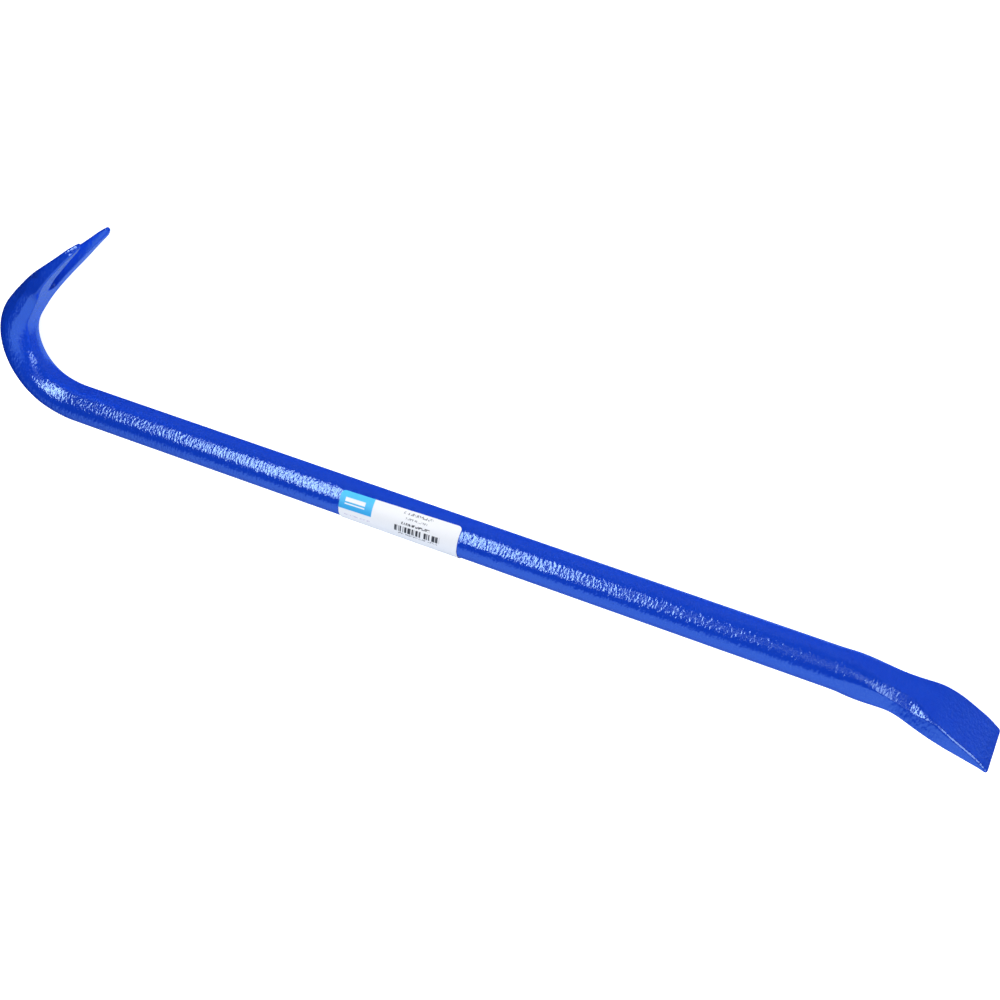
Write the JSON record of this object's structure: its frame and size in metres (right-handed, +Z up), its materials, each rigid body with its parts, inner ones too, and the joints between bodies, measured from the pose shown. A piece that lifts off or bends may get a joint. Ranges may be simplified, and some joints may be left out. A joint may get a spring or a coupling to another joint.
{
  "type": "crowbar",
  "caption": "Gooseneck crowbar of round forged bar with a slotted claw at its hooked end, a bent chisel blade at the other, and a paper label round its shaft.",
  "frame": {"origin": "middle of the bounding box in plan, on the level that the side of the claw rests on", "axes": "+X along the shaft from the hook to the blade, +Y the way the hook opens, +Z up and square to the level plane that the hook and the shaft lie in"},
  "size_m": [0.5128, 0.113, 0.0318],
  "materials": {
    "blue_enamel": "glossy blue enamel with a fine orange-peel texture, over forged steel",
    "label_paper": "white coated label paper with a plain light blue printed block"
  },
  "bodies": {
    "root": {"forged_bar": "blue_enamel", "paper_label": "label_paper"}
  },
  "joints": []
}
